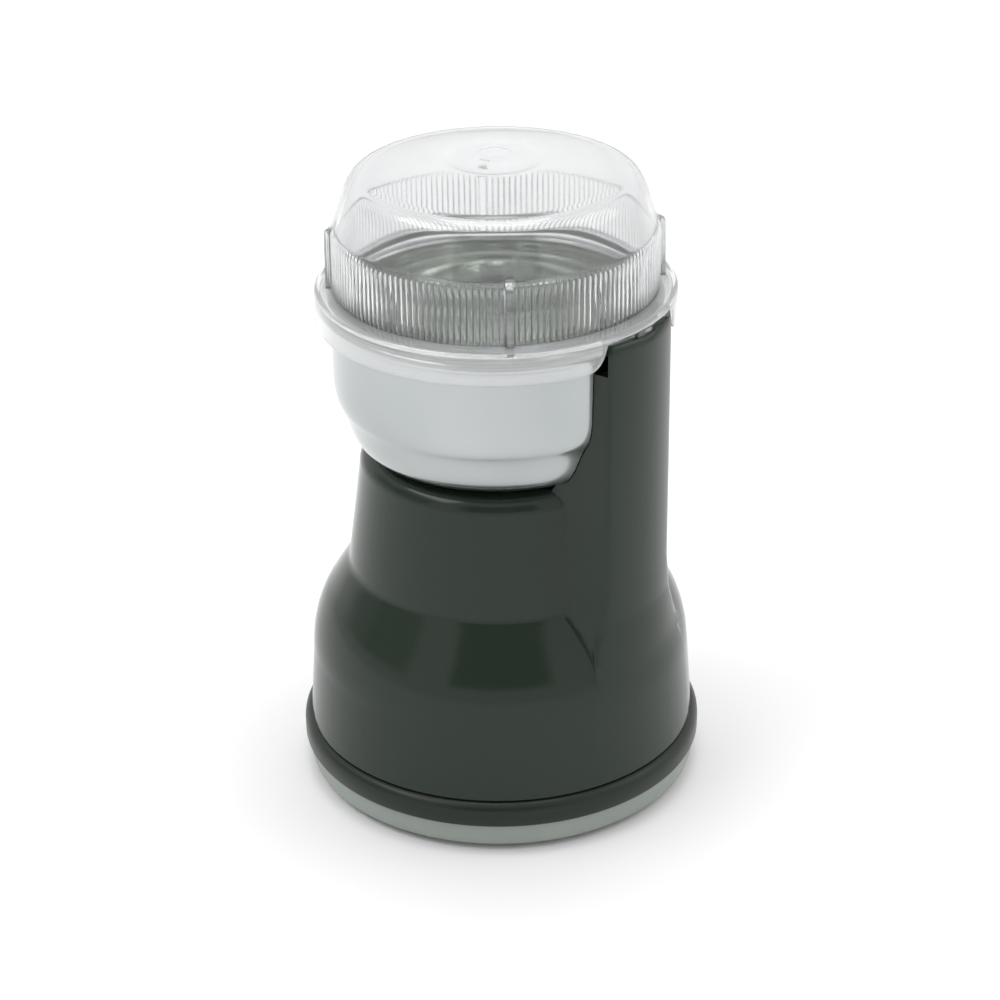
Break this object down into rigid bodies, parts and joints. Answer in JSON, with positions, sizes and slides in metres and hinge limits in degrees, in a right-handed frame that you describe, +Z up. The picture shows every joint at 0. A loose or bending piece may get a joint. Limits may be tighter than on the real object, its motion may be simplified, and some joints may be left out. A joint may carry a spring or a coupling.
{
  "type": "electric spice grinder",
  "caption": "Small electric spice grinder: a bell-shaped housing with a side spine, a fixed steel bowl and a clear fluted lid that is pressed down to run the blade.",
  "frame": {"origin": "centre of the resting face, on the blade's axis, at the underside of the feet", "axes": "+Z up along the blade's axis; the side spine stands at -Y and the cord gland at +Y; +X completes the right-handed frame"},
  "size_m": [0.104, 0.104, 0.1661],
  "materials": {
    "housing_grey": "satin moulded plastic",
    "base_pale": "satin moulded plastic",
    "ring_dark": "satin moulded plastic",
    "lid_clear": "clear moulded plastic, glossy",
    "bowl_steel": "brushed stainless steel",
    "blade_steel": "polished stainless steel",
    "screw_steel": "zinc plated",
    "lamination": "stacked sheet steel, lacquered",
    "copper_wire": "enamelled copper wire",
    "copper_bar": "bare copper",
    "bronze": "sintered bronze",
    "brass_sheet": "plain brass",
    "cast_bracket": "die cast",
    "bracket_plastic": "glass-filled plastic",
    "switch_plastic": "moulded plastic",
    "rod_plastic": "moulded plastic",
    "button_red": "moulded plastic",
    "fan_grey": "moulded plastic",
    "block_white": "moulded plastic",
    "cap_yellow": "dipped resin case",
    "wire_blue": "insulated wire",
    "rubber_black": "moulded rubber",
    "carbon": "pressed carbon",
    "spring_steel": "spring wire"
  },
  "bodies": {
    "housing": {"base_plate": "base_pale", "base_ring": "ring_dark", "body_shell": "housing_grey", "feet": "rubber_black", "base_screws": "screw_steel", "bowl": "bowl_steel", "bowl_gasket": "rubber_black", "bowl_nut": "brass_sheet", "shaft_seal": "rubber_black", "upper_bracket": "cast_bracket", "bracket_screws": "screw_steel", "rubber_mounts": "rubber_black", "upper_bearing": "bronze", "stator_core": "lamination", "field_coils": "copper_wire", "motor_screws": "screw_steel", "lower_bracket": "bracket_plastic", "lower_bearing": "bronze", "brush_holders": "brass_sheet", "carbon_brushes": "carbon", "brush_springs": "spring_steel", "microswitch": "switch_plastic", "switch_screws": "screw_steel", "rod_spring": "spring_steel", "terminal_block": "block_white", "capacitor": "cap_yellow", "cord_gland": "rubber_black", "motor_leads": "wire_blue"},
    "rotor": {"motor_shaft": "blade_steel", "rotor_core": "lamination", "rotor_windings": "copper_wire", "commutator": "copper_bar", "fan": "fan_grey", "blade_spacer": "blade_steel", "blade": "blade_steel", "blade_nut": "blade_steel"},
    "plunger": {"switch_rod": "rod_plastic"},
    "switch_key": {"switch_button": "button_red"},
    "cover": {"lid": "lid_clear"}
  },
  "joints": [
    {"name": "blade_spin", "type": "hinge", "parent": "housing", "child": "rotor", "pos_m": [0, 0, 0.0997], "axis": [0, 0, 1], "continuous": true},
    {"name": "switch_press", "type": "slide", "parent": "housing", "child": "plunger", "axis": [0, 0, 1], "range_m": [-0.001, 0], "stiffness_N_per_m": 2000, "springref_m": 0.003, "deforming": ["rod_spring"]},
    {"name": "button_press", "type": "slide", "parent": "housing", "child": "switch_key", "axis": [0, 0, 1], "range_m": [-0.001, 0]},
    {"name": "lid_lift", "type": "slide", "parent": "plunger", "child": "cover", "axis": [0, 0, 1], "range_m": [0, 0.09]}
  ],
  "couplings": [
    {"joint": "button_press", "follows": "switch_press", "ratio": 1}
  ]
}
